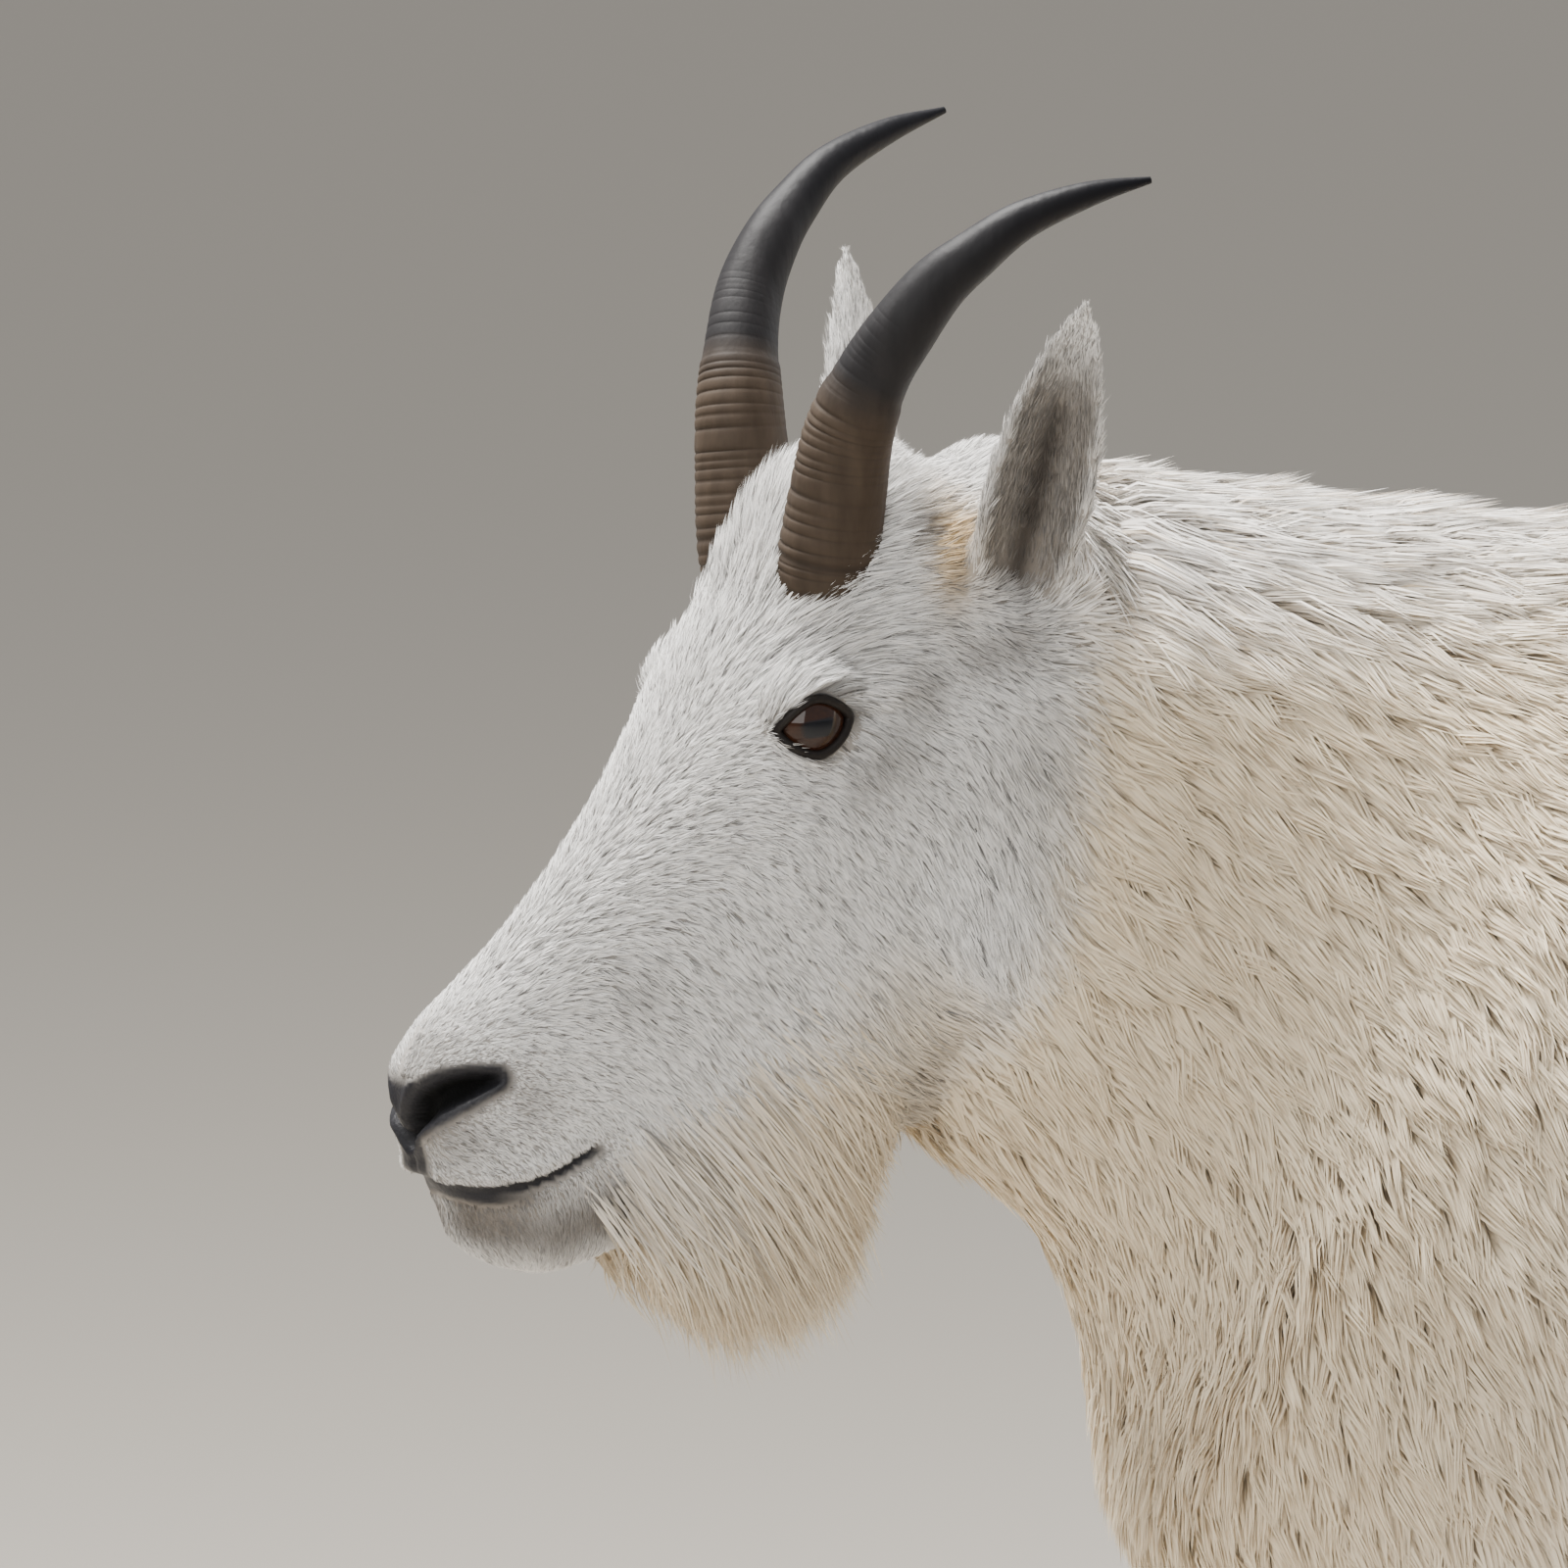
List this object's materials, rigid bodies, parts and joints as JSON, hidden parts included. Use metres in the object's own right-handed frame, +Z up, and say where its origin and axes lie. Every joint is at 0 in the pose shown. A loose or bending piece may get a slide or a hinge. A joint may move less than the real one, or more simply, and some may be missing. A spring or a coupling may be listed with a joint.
{
  "type": "mountain goat",
  "caption": "Life-size still model of a standing mountain goat: deep woolly coat, slim curved horns, short beard, head turned a little to its left.",
  "frame": {"origin": "on the floor, below the centre of the whole animal's bounding box", "axes": "+X toward the tail, so the goat faces -X; +Y to the goat's right; +Z up"},
  "size_m": [1.2716, 0.3556, 0.9909],
  "materials": {
    "coat": "deep soft wool and hair, creamy white, no shine",
    "horn": "ringed brown-black horn, satin toward the tip",
    "hoof": "dark grey horn, dry and slightly scuffed",
    "eye": "wet, dark brown eye with a wide pupil",
    "nose": "bare slate-black skin of the nose, lips and eyelids"
  },
  "bodies": {
    "root": {"beard": "coat", "dewclaw_front_left_inner": "hoof", "dewclaw_front_left_outer": "hoof", "dewclaw_front_right_inner": "hoof", "dewclaw_front_right_outer": "hoof", "dewclaw_hind_left_inner": "hoof", "dewclaw_hind_left_outer": "hoof", "dewclaw_hind_right_inner": "hoof", "dewclaw_hind_right_outer": "hoof", "ear_left": "coat", "ear_right": "coat", "eye_left": "eye", "eye_right": "eye", "head": "coat", "hoof_front_left_inner": "hoof", "hoof_front_left_outer": "hoof", "hoof_front_right_inner": "hoof", "hoof_front_right_outer": "hoof", "hoof_hind_left_inner": "hoof", "hoof_hind_left_outer": "hoof", "hoof_hind_right_inner": "hoof", "hoof_hind_right_outer": "hoof", "horn_left": "horn", "horn_right": "horn", "leg_front_left_foot": "coat", "leg_front_left_lower": "coat", "leg_front_left_upper": "coat", "leg_front_right_foot": "coat", "leg_front_right_lower": "coat", "leg_front_right_upper": "coat", "leg_hind_left_foot": "coat", "leg_hind_left_lower": "coat", "leg_hind_left_upper": "coat", "leg_hind_right_foot": "coat", "leg_hind_right_lower": "coat", "leg_hind_right_upper": "coat", "neck": "coat", "tail": "coat", "trunk": "coat"}
  },
  "joints": []
}
